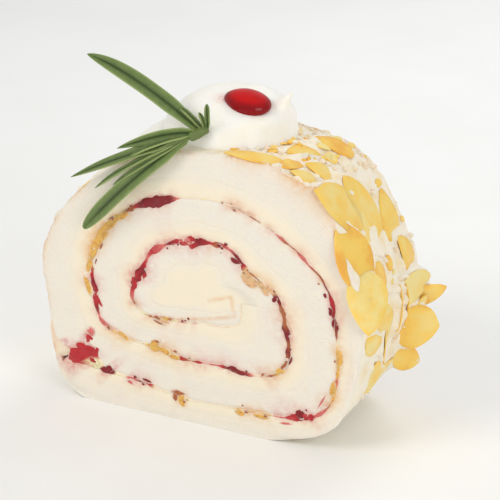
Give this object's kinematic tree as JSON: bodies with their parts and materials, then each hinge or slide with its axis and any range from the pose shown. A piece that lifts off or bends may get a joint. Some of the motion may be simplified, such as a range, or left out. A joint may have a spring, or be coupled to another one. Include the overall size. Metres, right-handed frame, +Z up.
{
  "type": "meringue roulade slice",
  "caption": "Cut slice of rolled meringue with a spiral of whipped cream and red jam, flaked almonds outside, and a cream rosette with a jelly drop and a rosemary sprig on top.",
  "frame": {"origin": "middle of the flat base the slice stands on, halfway through its thickness", "axes": "+Z up, +Y along the roll's axis into the slice, +X to the right when the front cut face (at -Y) is looked at"},
  "size_m": [0.0941, 0.0413, 0.0893],
  "materials": {
    "baked_meringue": "matte baked meringue, off-white, with pale golden flaked almonds",
    "cream_filling": "satin whipped cream, ivory",
    "red_jam": "wet red jam",
    "whipped_cream": "satin whipped cream, white",
    "red_jelly": "glossy clear red jelly",
    "rosemary": "waxy green leaf"
  },
  "bodies": {
    "root": {"meringue_sheet": "baked_meringue", "cream_filling": "cream_filling", "jam_layer": "red_jam", "cream_rosette": "whipped_cream", "jelly_drop": "red_jelly", "rosemary_sprig": "rosemary"}
  },
  "joints": []
}
